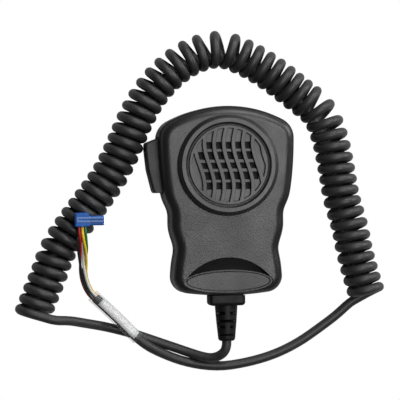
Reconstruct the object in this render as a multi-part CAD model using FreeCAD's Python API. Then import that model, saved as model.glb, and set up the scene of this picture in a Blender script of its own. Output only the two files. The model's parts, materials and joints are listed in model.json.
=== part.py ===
import FreeCAD, Part
import math
import os

V = FreeCAD.Vector

# All lengths are in millimetres. X is to the right of the face, Y towards the
# top of the microphone and Z out of its face. The origin is on the back, at
# the mouth of the hang-up insert, behind the centre of the grille.

# Clearances
lip_clearance = 0.12
grille_clearance = 0.4
grille_seat_clearance = 0.1
badge_clearance = 0.4
button_clearance = 0.25
press_clearance = 0.4
plunger_clearance = 0.05
plunger_gap = 0.1
spring_gap = 0.05
capsule_clearance = 0.1
screw_clearance = 0.05
hole_clearance = 0.25
relief_clearance = 0.15
cord_clearance = 0.05
contact_clearance = 0.05

# Case outline, seen from the front. Each flank point is drawn in from the
# shoulder's or the heel's half width and lies this far from the top or the
# bottom of the case.
case_top_y = 29.4
case_bottom_y = -64.8
crown_radius = 60.0
heel_edge_radius = 150.0
shoulder_half_width = 33.55
heel_half_width = 27.25
shoulder_corner_radius = 10.5
heel_corner_radius = 8.2
shoulder_flank = [(0.0, 21.4), (0.45, 30.4), (1.45, 39.9), (3.0, 46.7), (5.15, 52.2)]
heel_flank = [(-0.9, 35.3), (0.15, 29.5), (1.55, 23.8), (0.75, 17.8), (0.0, 11.8)]

# Case section
wall = 2.2
face_height = 27.5
face_tilt = 4.8
face_slope = math.tan(math.radians(face_tilt))
front_edge_radius = 5.0
back_edge_radius = 4.0
parting_height = 10.5
lip_height = 1.6
lip_wall = 1.0
lip_root = 2.0
lip_overlap = 0.1
inner_end_y = case_bottom_y + wall
tall = 60.0

# Speaker ring and grille
grille_radius = 19.6
grille_thickness = 3.2
grille_recess = 0.4
grille_flange_thickness = 1.2
grille_bore_radius = grille_radius + grille_clearance
ring_top = face_height + 3.5
ring_rim_radius = grille_radius + 3.7
ring_base_radius = ring_rim_radius + 1.7
ring_bevel_height = 1.6
ring_mouth_ledge = 0.4
ring_mouth_bevel = 0.9
grille_well_radius = ring_base_radius - 2.7
grille_well_depth = 6.0
grille_flange_radius = grille_well_radius - grille_clearance
grille_top = ring_top - grille_recess
grille_bottom = grille_top - grille_thickness
grille_ledge = grille_bottom + grille_flange_thickness + grille_seat_clearance
slot_field_radius = grille_radius - 1.3
slot_pitch = 4.8
slot_width = 2.9
slot_depth = 1.8
slot_wave_height = 2.35
slot_wave_quarter = 10.6
slot_count = 8
row_pitch = 5.0
row_centre_y = -0.3
row_overlap = 0.3
row_heights = [3.3, 3.7, 2.8, 3.7, 3.3]
row_left_insets = [6.9, 3.4, 3.4, 5.3, 6.9]
row_right_insets = [6.9, 5.3, 3.4, 3.4, 6.9]
cloth_radius = grille_radius - 0.6
cloth_thickness = 0.4
cloth_bottom = grille_bottom - cloth_thickness

# Badge plate and the scoop above it
badge_centre_y = case_bottom_y + 7.0
badge_half_length = 20.65
badge_half_height = 4.6
badge_thickness = 0.9
badge_proud = 0.1
rim_half_length = badge_half_length + 1.6
rim_half_height = badge_half_height + 1.1
seat_drop = 1.2
scoop_top_y = badge_centre_y + 11.9
scoop_end_y = badge_centre_y + 1.4
scoop_half_width = badge_half_length + 0.65
scoop_depth = 6.0
scoop_lip = 0.8
scoop_rise = scoop_top_y - scoop_end_y
scoop_radius = (scoop_half_width**2 + scoop_rise**2) / (2 * scoop_rise)
scoop_slope = face_slope + (scoop_depth - scoop_lip) / (scoop_top_y - badge_centre_y)
heel_ceiling = face_height + face_slope * badge_centre_y - scoop_depth - 1.65
heel_ceiling_y = scoop_top_y + wall

# Press-to-talk button. Its outer points stand out past the shoulder's half
# width and lie this far from the button's top or bottom.
button_length = 27.4
button_top_y = case_top_y - 15.3
button_bottom_y = button_top_y - button_length
button_upper = [(-0.15, 0.0), (6.5, 2.5), (6.6, 5.8)]
button_lower = [(5.6, 11.6), (3.2, 1.5), (2.5, 0.0)]
button_low = back_edge_radius + 3.2
button_high = face_height - 8.1
button_edge_radius = 1.2
button_inner_x = 6.65 - shoulder_half_width
button_travel = 2.2
flange_reach = 1.3
flange_margin_top = 0.4
flange_margin_bottom = 0.8

# Return springs, one above and one below the switch
spring_offset_y = 9.3
spring_radius = 2.3
spring_wire = 0.5
spring_turns = 4
spring_height = (button_low + button_high) / 2
post_x = button_inner_x + 6.4
post_thickness = 1.9
post_half_width = 2.6
post_top = spring_height + 3.3

# Threaded insert for the hang-up button
insert_radius = 3.0
insert_bore_radius = 1.65
insert_length = 5.0
insert_groove_half_width = 0.4
insert_groove_depth = 0.35
insert_boss_radius = insert_radius + 2.0
insert_boss_top = insert_length + 0.6

# Circuit board
board_bottom = insert_boss_top + 0.4
board_thickness = 1.6
board_top = board_bottom + board_thickness
board_half_width = 17.5
board_top_y = case_top_y - 11.4
board_bottom_y = case_bottom_y + 17.8
board_tab_x = button_inner_x + button_travel + press_clearance
board_tab_half_width = 5.2
board_screw_x = board_half_width - 3.7
board_screw_ys = (board_top_y - 4.0, board_bottom_y + 4.5)
small_post_radius = 3.0

# Press-to-talk switch
switch_front_x = button_inner_x + 3.1
switch_depth = 5.0
switch_half_width = 4.0
switch_top = spring_height + 3.7
switch_centre_y = (button_top_y + button_bottom_y) / 2
plunger_size = 2.6
plunger_depth = 2.0
pin_size = 0.6
pin_length = 3.0
pin_inset = 1.4
pin_spread = 2.5

# Capsule, built along Z behind the grille
coil_radius = 6.8
coil_wall = 0.5
coil_length = 4.4
yoke_wall = 1.4
yoke_radius = coil_radius + 0.7 + yoke_wall
yoke_height = 7.2
pole_radius = coil_radius - coil_wall - 0.35
pole_thickness = 2.0
magnet_radius = pole_radius - 0.45
magnet_thickness = 3.4
basket_radius = 14.2
basket_wall = 1.6
basket_floor = 1.2
basket_height = 8.2
basket_ledge = 1.6
basket_top = cloth_bottom - 2.6
basket_bottom = basket_top - basket_height
cap_thickness = 0.8
cap_hole_radius = 1.6
cap_hole_count = 6
diaphragm_thickness = 0.25
diaphragm_dome_radius = coil_radius - 0.3
diaphragm_dome_rise = 1.1
diaphragm_height = basket_top - 1.5
boot_radius = basket_radius + 2.5
boot_lip_radius = yoke_radius + 3.4
boot_lip_thickness = 1.0
boot_bottom = basket_bottom - boot_lip_thickness - 2 * capsule_clearance
yoke_bottom = boot_bottom - 1.6
tag_x = 2.6
tag_half_width = 0.9
tag_length = 1.7
tag_thickness = 0.5
tag_inner_y = -yoke_radius - 0.8
tag_y = tag_inner_y - tag_length / 2

# Capsule bracket
bracket_thickness = 1.4
bracket_top = boot_bottom
bracket_bottom = bracket_top - bracket_thickness
bracket_inner_radius = yoke_radius + 0.8
bracket_ear_top_y = boot_radius + 6.1
bracket_ear_bottom_y = -boot_radius - 7.7
bracket_ear_half_width = 3.4
bracket_notch_half_width = tag_x + 2.6
bracket_notch_y = tag_inner_y - tag_length - 3.0

# Screws, one size for each job
small_shaft_radius = 1.2
small_head_radius = 2.2
small_head_height = 1.6
small_length = 5.0
board_screw_length = 4.2
case_shaft_radius = 1.45
case_head_radius = 2.7
case_head_height = 1.9
case_screw_length = 10.0
case_shoulder_site = (shoulder_half_width - 9.1, case_top_y - 10.1)
case_heel_site = (heel_half_width - 7.35, case_bottom_y + 14.4)
case_boss_radius = 3.4
case_post_radius = 4.3
head_recess = 0.4
case_screw_seat = head_recess + case_head_height
case_post_top = case_screw_seat + 2.7
small_hole_spare = 0.3
case_hole_spare = 1.7
drive_radius = 0.9
drive_half_width = 0.25
drive_depth = 0.8

# Cord and its strain relief
cord_diameter = 4.8
cord_radius = cord_diameter / 2
cord_height = parting_height
relief_flange_half_width = 9.0
relief_flange_half_height = 7.0
relief_flange_thickness = 5.1
relief_flange_round = 1.8
relief_flange_start_y = case_bottom_y - 0.1
relief_flange_end_y = relief_flange_start_y - relief_flange_thickness
relief_neck_radius = cord_radius + 3.3
relief_mid_radius = cord_radius + 2.7
relief_tip_radius = cord_radius + 1.9
relief_tip_round = 1.6
relief_mid_y = relief_flange_end_y - 8.0
relief_end_y = relief_flange_end_y - 17.8
relief_core_radius = cord_radius + 0.7
relief_notch_width = 1.6
relief_rib_half_width = 1.25
relief_side_rib_half_width = 0.7
relief_quarter_notches = [3.95, 10.8]
relief_half_notches = [7.8, 14.7]
relief_wall_radius = cord_radius + 2.8
relief_inner_half_width = relief_wall_radius + 2.8
relief_inner_half_height = 4.2
relief_inner_thickness = 1.7
heel_inner_radius = heel_edge_radius - wall
relief_inner_sag = heel_inner_radius - math.sqrt(heel_inner_radius**2 - relief_inner_half_width**2)
relief_inner_y = inner_end_y + relief_inner_sag + relief_clearance

# Cord clamp
clamp_y = case_bottom_y + 7.6
clamp_half_length = 2.0
clamp_bar_low = cord_height - 2.3
clamp_bar_thickness = 2.2
clamp_loop_radius = cord_radius + 1.7
clamp_screw_x = cord_radius + 4.6
clamp_half_width = clamp_screw_x + 2.5
saddle_half_width = cord_radius + 0.8
saddle_top = cord_height - cord_radius / 2
jacket_end_y = clamp_y + clamp_half_length + 0.8

# Wires inside the case and their headers
inner_wire_diameter = 1.1
inner_wire_ring_radius = 1.3
wire_names = ("red", "yellow", "green", "black", "white")
header_order = (2, 1, 0, 4, 3)
header_half_length = 6.4
header_depth = 5.2
header_height = 6.0
header_pitch = 2.2
header_y = board_bottom_y + 0.6
capsule_wire_diameter = 0.8
capsule_header_half_length = 2.6
capsule_header_depth = 4.4
capsule_header_height = 4.0
capsule_header_y = bracket_ear_bottom_y - 4.2

# Small parts on the circuit board
chip_x = 7.5
chip_y = -24.0
chip_half_length = 2.5
chip_half_width = 2.0
chip_stand = 0.2
chip_top = 1.6
chip_foot_count = 4
chip_foot_pitch = 1.27
chip_foot_half_width = 0.2
chip_foot_reach = 0.5
chip_foot_height = 0.5
capacitor_xs = (-9.5, -4.5)
capacitor_y = -37.0
capacitor_radius = 2.0
capacitor_height = 5.0
capacitor_groove_depth = 0.15
capacitor_groove_low = 0.8
capacitor_groove_high = 1.2
resistor_count = 4
resistor_x = 4.0
resistor_y = -37.0
resistor_pitch = 2.6
resistor_length = 1.6
resistor_half_width = 0.4
resistor_height = 0.5

# Curly cord: the line that the turns follow, and the turns
coil_outer_radius = 9.5
helix_radius = coil_outer_radius - cord_radius
curl_count = 54
curl_points = [
    (-96.6, -72.3), (-93.5, -64.3), (-88.7, -53.6), (-84.0, -40.4), (-75.4, -28.2),
    (-66.1, -16.3), (-57.2, -4.3), (-50.3, 9.1), (-44.5, 22.8), (-37.2, 35.8),
    (-27.2, 46.9), (-15.5, 55.1), (-0.7, 59.2), (13.9, 53.0), (26.5, 44.9),
    (38.0, 35.4), (49.2, 26.9), (54.4, 13.4), (57.3, -2.9), (59.4, -17.8),
    (63.8, -32.1), (66.0, -47.0), (71.7, -66.2),
]
curl_window = 3.0
curl_lean_start = 1.0
curl_lean_end = 0.4
curl_lean_fade = (0.30, 0.62)

# Route of the cord from the strain relief to the coil
lead_points = [
    (0.0, relief_end_y, cord_height), (0.0, -91.4, cord_height), (-2.4, -94.8, 8.8),
    (-6.9, -96.6, 6.8), (-12.2, -95.6, 5.2), (-18.8, -93.3, 3.2),
    (-26.5, -90.5, cord_radius), (-35.1, -87.4, cord_radius), (-43.0, -84.5, cord_radius),
    (-51.2, -82.0, cord_radius), (-60.6, -79.5, 4.0), (-70.1, -77.6, 8.8), (-79.1, -75.7, 14.3),
]
lead_run_in = 6.4

# Route of the cord from the coil to the stripped end
tail_run_out = 4.0
tail_points = [
    (57.0, -76.5, cord_radius), (48.5, -82.5, cord_radius), (37.8, -89.7, cord_radius),
    (25.2, -95.6, cord_radius), (11.2, -99.3, cord_radius), (-3.7, -101.2, cord_radius),
    (-18.8, -98.8, cord_radius), (-31.6, -93.9, 4.4), (-42.5, -88.0, 8.6),
    (-53.7, -76.1, 8.8), (-60.4, -69.6, 7.0), (-65.1, -65.1, 6.0),
]
label_start = 27.6
label_end = 3.4
label_wall = 0.25
sleeve_start = 29.2
sleeve_end = -2.0
sleeve_wall = 0.25
label_inner_radius = cord_radius + cord_clearance
label_outer_radius = label_inner_radius + label_wall
sleeve_inner_radius = label_outer_radius + cord_clearance
sleeve_outer_radius = sleeve_inner_radius + sleeve_wall

# Middle of the bundle of stripped wires, past the end of the jacket
wire_diameter = 1.4
wire_ring_radius = 1.5
bundle_lead = 2.8
bundle_points = [
    (-69.5, -59.4, 7.2), (-71.4, -53.4, 10.2), (-71.7, -47.0, 14.4), (-71.9, -41.0, 18.4),
    (-72.4, -35.9, 21.0), (-72.5, -31.9, 21.9),
]

# Where each wire leaves the jacket, in degrees round it, and its place in
# the bundle across and up at the last four points
wire_angles = {"red": 198, "yellow": 342, "green": 270, "black": 126, "white": 54}
wire_places = {
    "red": [(-1.3, -0.9), (-1.0, -0.8), (-0.9, 0.5), (-1.45, 0.85)],
    "yellow": [(1.75, -0.2), (1.3, 1.0), (0.7, 1.1), (0.1, 0.85)],
    "green": [(1.2, -1.6), (2.1, -0.6), (2.0, 0.2), (1.65, 0.85)],
    "black": [(-1.5, 0.9), (-2.4, 0.4), (-2.4, -0.4), (-1.2, -0.85)],
    "white": [(-0.05, 0.4), (0.5, -1.1), (0.6, -0.9), (0.8, -0.85)],
}

# Connector on the end of the wires, lying on the coil
connector_left_x = -76.0
connector_body_length = 7.0
connector_nose_length = 7.4
connector_body_half_width = 3.5
connector_nose_half_width = 2.4
connector_y = -25.8
connector_nose_y = connector_y - 0.5
connector_low = 2 * coil_outer_radius + 0.2
connector_height = 5.6
connector_nose_height = 4.6
connector_edge_radius = 0.7
connector_step_overlap = 2.0
connector_ridge_start = 0.9
connector_ridge_half_width = 1.1
connector_ridge_wall = 0.5
connector_ridge_height = 0.35
connector_ridge_root = 1.2
contact_half_width = 1.5
contact_height = 2.2
contact_root = 3.0
contact_reach = 1.6
contact_wall = 0.5
contact_mouth_depth = 5.0


def face_at(y):
    """Height of the case's flat face at this place along Y."""
    return face_height + face_slope * y


def box(x0, x1, y0, y1, z0, z1):
    """A box between two corners."""
    return Part.makeBox(x1 - x0, y1 - y0, z1 - z0, V(x0, y0, z0))


def rod(radius, z0, z1, x=0.0, y=0.0):
    """A cylinder along Z."""
    return Part.makeCylinder(radius, z1 - z0, V(x, y, z0))


def pipe(outer, inner, z0, z1, x=0.0, y=0.0):
    """A ring of rectangular section along Z."""
    return rod(outer, z0, z1, x, y).cut(rod(inner, z0 - 1, z1 + 1, x, y))


def plate(points, z0, z1):
    """A flat piece with a straight-sided outline."""
    corners = [V(x, y, z0) for x, y in points]
    return Part.Face(Part.makePolygon(corners + corners[:1])).extrude(V(0, 0, z1 - z0))


def oval(half_length, half_height, y, z0, z1):
    """An upright solid with an elliptical outline."""
    edge = Part.Ellipse(V(0, y, z0), half_length, half_height).toShape()
    return Part.Face(Part.Wire(edge)).extrude(V(0, 0, z1 - z0))


def above_slope(tilt, height):
    """Everything over a plane that rises towards the top, with its height behind the grille's centre."""
    block = Part.makeBox(200, 300, tall, V(-100, -150, 0))
    block.rotate(V(0, 0, 0), V(1, 0, 0), tilt)
    block.translate(V(0, 0, height))
    return block


def above_face(drop):
    """Everything over the plane that lies this far under the case's face."""
    return above_slope(face_tilt, face_height - drop)


def save(shape, name):
    """Write one node."""
    if not shape.isValid():
        print("not valid:", name)
    shape.exportStep("parts/%s.step" % name)
    print("%-24s solids %d volume %.1f" % (name, len(shape.Solids), shape.Volume))


# Tubes along a route

def tangent_path(points):
    """Straight runs joined by tangent arcs, as edges, with the smallest radius."""
    places = [V(*p) for p in points]
    edges = []
    radii = []
    start = places[0]
    for before, corner, after in zip(places, places[1:], places[2:]):
        come = (corner - before).normalize()
        go = (after - corner).normalize()
        half_turn = come.getAngle(go) / 2
        reach = 0.45 * min((corner - before).Length, (after - corner).Length)
        radii.append(reach / math.tan(half_turn))
        enter = corner - come * reach
        leave = corner + go * reach
        inward = (go - come).normalize()
        depth = radii[-1] * (1 / math.cos(half_turn) - 1)
        middle = corner + inward * depth
        edges.append(Part.LineSegment(start, enter).toShape())
        edges.append(Part.Arc(enter, middle, leave).toShape())
        start = leave
    edges.append(Part.LineSegment(start, places[-1]).toShape())
    return edges, min(radii)


def part_of_path(edges, start, end):
    """The edges between two distances along a path."""
    kept = []
    done = 0.0
    for edge in edges:
        length = edge.Length
        low = max(start - done, 0.0)
        high = min(end - done, length)
        if high - low > 0.01:
            kept.append(edge.Curve.toShape(edge.getParameterByLength(low), edge.getParameterByLength(high)))
        done += length
    return kept


def sweep(edges, radius):
    """A round solid along a chain of edges."""
    wire = Part.Wire(edges)
    first = edges[0]
    circle = Part.Circle(first.valueAt(first.FirstParameter), first.tangentAt(first.FirstParameter), radius)
    shell = Part.BRepOffsetAPI.MakePipeShell(wire)
    shell.add(Part.Wire(circle.toShape()))
    shell.build()
    shell.makeSolid()
    return shell.shape()


def tube(points, diameter, name):
    """A cord's solid, with its length, tightest arc and volume printed."""
    edges, tightest = tangent_path(points)
    solid = sweep(edges, diameter / 2)
    length = sum(edge.Length for edge in edges)
    wanted = length * math.pi * diameter**2 / 4
    print("%s length %.1f radius %.1f (%.1f diameters) volume ratio %.4f"
          % (name, length, tightest, tightest / diameter, solid.Volume / wanted))
    return solid


# Case

def flank_points():
    """Points down the right side, from the shoulder to the heel."""
    shoulder = [(shoulder_half_width - inset, case_top_y - below) for inset, below in shoulder_flank]
    heel = [(heel_half_width - inset, case_bottom_y + above) for inset, above in heel_flank]
    return shoulder + heel


def flank_at(y):
    """Half width of the case at this place along its flank."""
    points = flank_points()
    for (x0, y0), (x1, y1) in zip(points, points[1:]):
        if y1 <= y <= y0:
            return x0 + (x1 - x0) * (y0 - y) / (y0 - y1)
    return shoulder_half_width


def case_outline(inset):
    """The case seen from the front, drawn in by an inset."""
    crown_centre = case_top_y - crown_radius
    heel_centre = case_bottom_y + heel_edge_radius
    top_x = shoulder_half_width - inset
    top_y = crown_centre + math.sqrt((crown_radius - inset)**2 - top_x**2)
    low_x = heel_half_width - inset
    low_y = heel_centre - math.sqrt((heel_edge_radius - inset)**2 - low_x**2)
    flank = [V(x - inset, y, 0) for x, y in flank_points()]
    right = [V(top_x, top_y, 0)] + flank + [V(low_x, low_y, 0)]
    left = [V(-p.x, p.y, 0) for p in reversed(right)]
    crown = Part.Arc(left[-1], V(0, case_top_y - inset, 0), right[0])
    heel = Part.Arc(right[-1], V(0, case_bottom_y + inset, 0), left[0])
    right_side = Part.BSplineCurve()
    right_side.interpolate(right)
    left_side = Part.BSplineCurve()
    left_side.interpolate(left)
    return Part.Wire([curve.toShape() for curve in (crown, right_side, heel, left_side)])


def upright_corner_edges(solid, x, top):
    """The upright edges at a pair of corners of the outline."""
    found = []
    for edge in solid.Edges:
        ends = [vertex.Point for vertex in edge.Vertexes]
        if len(ends) == 2 and abs(ends[0].x - ends[1].x) < 1e-6 and abs(ends[0].y - ends[1].y) < 1e-6:
            if abs(abs(ends[0].x) - x) < 1e-3 and (ends[0].y > 0) == top:
                found.append(edge)
    return found


def rounded_prism(inset, z0, height):
    """The outline with its four corners rounded, standing up."""
    solid = Part.Face(case_outline(inset)).extrude(V(0, 0, height))
    solid.translate(V(0, 0, z0))
    top_edges = upright_corner_edges(solid, shoulder_half_width - inset, True)
    solid = solid.makeFillet(shoulder_corner_radius - inset, top_edges)
    low_edges = upright_corner_edges(solid, heel_half_width - inset, False)
    return solid.makeFillet(heel_corner_radius - inset, low_edges)


def case_solid(inset):
    """The case as a full body, drawn in by an inset on every side."""
    solid = rounded_prism(inset, inset, tall).cut(above_face(inset))
    front = max(solid.Faces, key=lambda face: face.CenterOfMass.z)
    solid = solid.makeFillet(front_edge_radius - inset, front.Edges)
    back = min(solid.Faces, key=lambda face: face.CenterOfMass.z)
    return solid.makeFillet(back_edge_radius - inset, back.Edges)


def speaker_ring():
    """The raised ring round the grille, before its bore."""
    base = rod(ring_base_radius, face_at(-ring_base_radius) - 2 * wall, ring_top - ring_bevel_height)
    cone_bottom = V(0, 0, ring_top - ring_bevel_height)
    bevel = Part.makeCone(ring_base_radius, ring_rim_radius, ring_bevel_height, cone_bottom)
    return base.fuse(bevel)


def ring_bore():
    """The hole through the ring, with its bevelled mouth and the well for the grille's flange."""
    mouth_radius = grille_bore_radius + ring_mouth_ledge
    mouth = Part.makeCone(mouth_radius, mouth_radius + ring_mouth_bevel, ring_mouth_bevel,
                          V(0, 0, ring_top - ring_mouth_bevel))
    bore = rod(grille_bore_radius, grille_ledge - 1, ring_top + 1)
    well = rod(grille_well_radius, cloth_bottom - grille_well_depth, grille_ledge)
    return mouth.fuse(bore).fuse(well)


def scoop_cut():
    """The well that falls from the scoop's arc to the rim of the badge seat."""
    disc = rod(scoop_radius, 0, tall, 0, scoop_top_y - scoop_radius)
    upper = box(-scoop_half_width - 1, scoop_half_width + 1, scoop_end_y, scoop_top_y + 1, 0, tall)
    rim = oval(rim_half_length, rim_half_height, badge_centre_y, 0, tall)
    arc_height = face_height + face_slope * scoop_top_y - scoop_lip
    floor = above_slope(math.degrees(math.atan(scoop_slope)), arc_height - scoop_slope * scoop_top_y)
    return disc.common(upper).cut(rim).common(floor)


def badge_seat():
    """The raised oval that carries the badge plate."""
    rim = oval(rim_half_length, rim_half_height, badge_centre_y, heel_ceiling, tall)
    return rim.cut(above_face(seat_drop))


def badge_pocket():
    """The shallow pocket for the badge plate."""
    shape = oval(badge_half_length + badge_clearance, badge_half_height + badge_clearance,
                 badge_centre_y, 0, tall)
    return shape.common(above_face(seat_drop + badge_thickness - badge_proud))


def button_window():
    """The hole in the side of the case for the button."""
    c = button_clearance
    outside = -shoulder_half_width - max(reach for reach, _ in button_upper) - 1
    return box(outside, button_inner_x - 1, button_bottom_y - c, button_top_y + c,
               button_low - c, button_high + c)


def button_lip_gap():
    """Room in the cover's lip for the button's flange, pressed or not."""
    c = press_clearance
    return box(-shoulder_half_width, button_inner_x + button_travel + c, button_bottom_y - flange_reach - c,
               button_top_y + flange_reach + c, button_low - flange_reach - c, tall)


def relief_window():
    """The round hole in the end of the case for the strain relief."""
    radius = relief_wall_radius + relief_clearance
    return Part.makeCylinder(radius, 3 * wall, V(0, inner_end_y + wall, cord_height), V(0, -1, 0))


def relief_lip_gap():
    """Room in the cover's lip for the strain relief's inner flange."""
    c = relief_clearance
    half_width = relief_inner_half_width + c
    half_height = relief_inner_half_height + c
    return box(-half_width, half_width, relief_inner_y - c - 1, relief_inner_y + relief_inner_thickness + c,
               cord_height - half_height, cord_height + half_height)


def bracket_boss_sites():
    """Where the two bosses for the capsule bracket stand."""
    return [(0.0, bracket_ear_top_y), (0.0, bracket_ear_bottom_y)]


def case_screw_sites():
    """Where the four screws from the back stand."""
    return [(side * x, y) for x, y in (case_shoulder_site, case_heel_site) for side in (-1, 1)]


def front_shell(outer, inner):
    """The front half of the case."""
    solid = outer.fuse(speaker_ring())
    rim = oval(rim_half_length, rim_half_height, badge_centre_y, 0, tall)
    solid = solid.cut(rim.common(above_face(seat_drop)))
    solid = solid.cut(scoop_cut()).fuse(badge_seat()).cut(badge_pocket())
    low_ceiling = box(-50, 50, case_bottom_y, heel_ceiling_y, heel_ceiling, tall)
    cavity = inner.cut(low_ceiling).fuse(ring_bore())
    solid = solid.cut(cavity)
    boss_bottom = case_post_top + screw_clearance
    for x, y in case_screw_sites():
        boss = rod(case_boss_radius, boss_bottom, tall, x, y)
        solid = solid.fuse(boss.common(inner.cut(low_ceiling)))
    well = rod(grille_well_radius, cloth_bottom - screw_clearance, tall)
    for x, y in bracket_boss_sites():
        boss = rod(small_post_radius, bracket_top, tall, x, y).common(inner).cut(well)
        hole = rod(small_shaft_radius + screw_clearance, bracket_top, bracket_top + small_length, x, y)
        solid = solid.fuse(boss).cut(hole)
    hole_top = case_screw_seat + case_screw_length + case_hole_spare
    lower_bosses = []
    for x, y in case_screw_sites():
        hole = rod(case_shaft_radius + screw_clearance, 0, hole_top, x, y)
        solid = solid.cut(hole)
        boss = rod(case_boss_radius, boss_bottom, parting_height, x, y)
        boss = boss.common(rounded_prism(wall + lip_wall + 2 * lip_clearance, 0, tall))
        lower_bosses.append(boss.cut(hole))
    solid = solid.cut(box(-100, 100, -100, 100, -1, parting_height))
    for boss in lower_bosses:
        solid = solid.fuse(boss)
    return solid.cut(button_window()).cut(relief_window()).removeSplitter()


def back_cover(outer, inner):
    """The rear half of the case, with its lip, posts and cord saddle."""
    solid = outer.cut(inner)
    inside = rounded_prism(wall + lip_clearance + lip_wall, 0, tall)
    lip = rounded_prism(wall + lip_clearance, parting_height - lip_root, lip_root + lip_height).cut(inside)
    neck = rounded_prism(wall - lip_overlap, parting_height - lip_root, lip_root).cut(inside)
    lip = lip.fuse(neck).cut(button_lip_gap()).cut(relief_lip_gap())
    solid = solid.common(box(-100, 100, -100, 100, -1, parting_height)).fuse(lip)
    for x, y in case_screw_sites():
        solid = solid.cut(rod(case_boss_radius + hole_clearance, case_post_top, tall, x, y))
        post = rod(case_post_radius, wall / 2, case_post_top, x, y).common(outer)
        solid = solid.fuse(post)
        solid = solid.cut(rod(case_shaft_radius + hole_clearance, -1, tall, x, y))
        solid = solid.cut(rod(case_head_radius + hole_clearance, -1, case_screw_seat, x, y))
    board_hole_bottom = board_top - board_screw_length - small_hole_spare
    clamp_hole_bottom = clamp_bar_low + clamp_bar_thickness - small_length - small_hole_spare
    for side in (-1, 1):
        for y in board_screw_ys:
            post = rod(small_post_radius, wall / 2, board_bottom, side * board_screw_x, y)
            hole = rod(small_shaft_radius + screw_clearance, board_hole_bottom, tall, side * board_screw_x, y)
            solid = solid.fuse(post).cut(hole)
        y = switch_centre_y + side * spring_offset_y
        post = box(post_x, post_x + post_thickness, y - post_half_width, y + post_half_width,
                   wall / 2, post_top)
        solid = solid.fuse(post)
        x = side * clamp_screw_x
        screw_post = rod(small_post_radius, wall / 2, clamp_bar_low, x, clamp_y)
        hole = rod(small_shaft_radius + screw_clearance, clamp_hole_bottom, tall, x, clamp_y)
        solid = solid.fuse(screw_post).cut(hole)
    saddle = box(-saddle_half_width, saddle_half_width, clamp_y - clamp_half_length,
                 clamp_y + clamp_half_length, wall / 2, saddle_top)
    solid = solid.fuse(saddle.cut(cord_bore(cord_radius + cord_clearance)))
    solid = solid.fuse(rod(insert_boss_radius, wall / 2, insert_boss_top))
    solid = solid.cut(rod(insert_radius, -1, insert_length))
    return solid.cut(button_window()).cut(relief_window()).removeSplitter()


def cord_bore(radius):
    """A rod on the cord's line inside the case."""
    return Part.makeCylinder(radius, 60, V(0, -30, cord_height), V(0, -1, 0))


# Grille

def wavy_slot(middle):
    """One slot of the grille, following a quarter wave each way."""
    steps = 16
    reach = slot_field_radius + 1

    def side(offset):
        points = []
        for k in range(steps + 1):
            y = reach - 2 * reach * k / steps
            x = middle - slot_wave_height * math.sin(math.pi / 2 * y / slot_wave_quarter)
            points.append(V(x + offset, y, 0))
        return points

    left = side(-slot_width / 2)
    right = list(reversed(side(slot_width / 2)))
    left_curve = Part.BSplineCurve()
    left_curve.interpolate(left)
    right_curve = Part.BSplineCurve()
    right_curve.interpolate(right)
    wire = Part.Wire([
        left_curve.toShape(),
        Part.LineSegment(left[-1], right[0]).toShape(),
        right_curve.toShape(),
        Part.LineSegment(right[-1], left[0]).toShape(),
    ])
    solid = Part.Face(wire).extrude(V(0, 0, slot_depth + 1))
    solid.translate(V(0, 0, grille_top - slot_depth))
    return solid.common(rod(slot_field_radius, 0, tall))


def grille_disc():
    """The grille: slots from the front and rows from behind, open where they meet."""
    solid = rod(grille_radius, grille_bottom, grille_top)
    solid = solid.fuse(rod(grille_flange_radius, grille_bottom, grille_bottom + grille_flange_thickness))
    for k in range(slot_count):
        middle = slot_pitch * (k - (slot_count - 1) / 2)
        solid = solid.cut(wavy_slot(middle))
    row_top = grille_top - slot_depth + row_overlap
    for k, (height, left, right) in enumerate(zip(row_heights, row_left_insets, row_right_insets)):
        y = row_centre_y + row_pitch * (len(row_heights) // 2 - k)
        row = box(left - slot_field_radius, slot_field_radius - right, y - height / 2, y + height / 2,
                  grille_bottom - 1, row_top)
        solid = solid.cut(row)
    return solid.removeSplitter()


def dust_cloth():
    """Woven disc stuck behind the grille."""
    return rod(cloth_radius, cloth_bottom, grille_bottom)


def badge_plate():
    """The blank oval plate in its seat."""
    shape = oval(badge_half_length, badge_half_height, badge_centre_y, 0, tall)
    shape = shape.common(above_face(seat_drop + badge_thickness - badge_proud))
    return shape.cut(above_face(seat_drop - badge_proud))


# Capsule

def capsule_boot():
    """Rubber boot that holds the capsule against the grille."""
    solid = rod(boot_radius, boot_bottom, cloth_bottom)
    solid = solid.cut(rod(basket_radius + capsule_clearance, boot_bottom + boot_lip_thickness,
                          basket_top + cap_thickness + capsule_clearance))
    return solid.cut(rod(boot_lip_radius, 0, tall))


def capsule_basket():
    """Plastic body of the capsule."""
    inside = basket_radius - basket_wall
    solid = rod(basket_radius, basket_bottom, basket_top)
    solid = solid.cut(rod(inside, basket_bottom + basket_floor, tall))
    ledge = pipe(inside + basket_wall / 4, inside - basket_ledge, basket_bottom + basket_floor,
                 diaphragm_height)
    return solid.fuse(ledge).cut(rod(yoke_radius + capsule_clearance / 2, 0, tall))


def capsule_cap():
    """Perforated front cap of the capsule."""
    solid = rod(basket_radius, basket_top, basket_top + cap_thickness)
    ring = boot_lip_radius / 2 + cap_hole_radius / 2
    for k in range(cap_hole_count):
        angle = 2 * math.pi * k / cap_hole_count
        solid = solid.cut(rod(cap_hole_radius, 0, tall, ring * math.cos(angle), ring * math.sin(angle)))
    return solid.cut(rod(cap_hole_radius, 0, tall))


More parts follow.
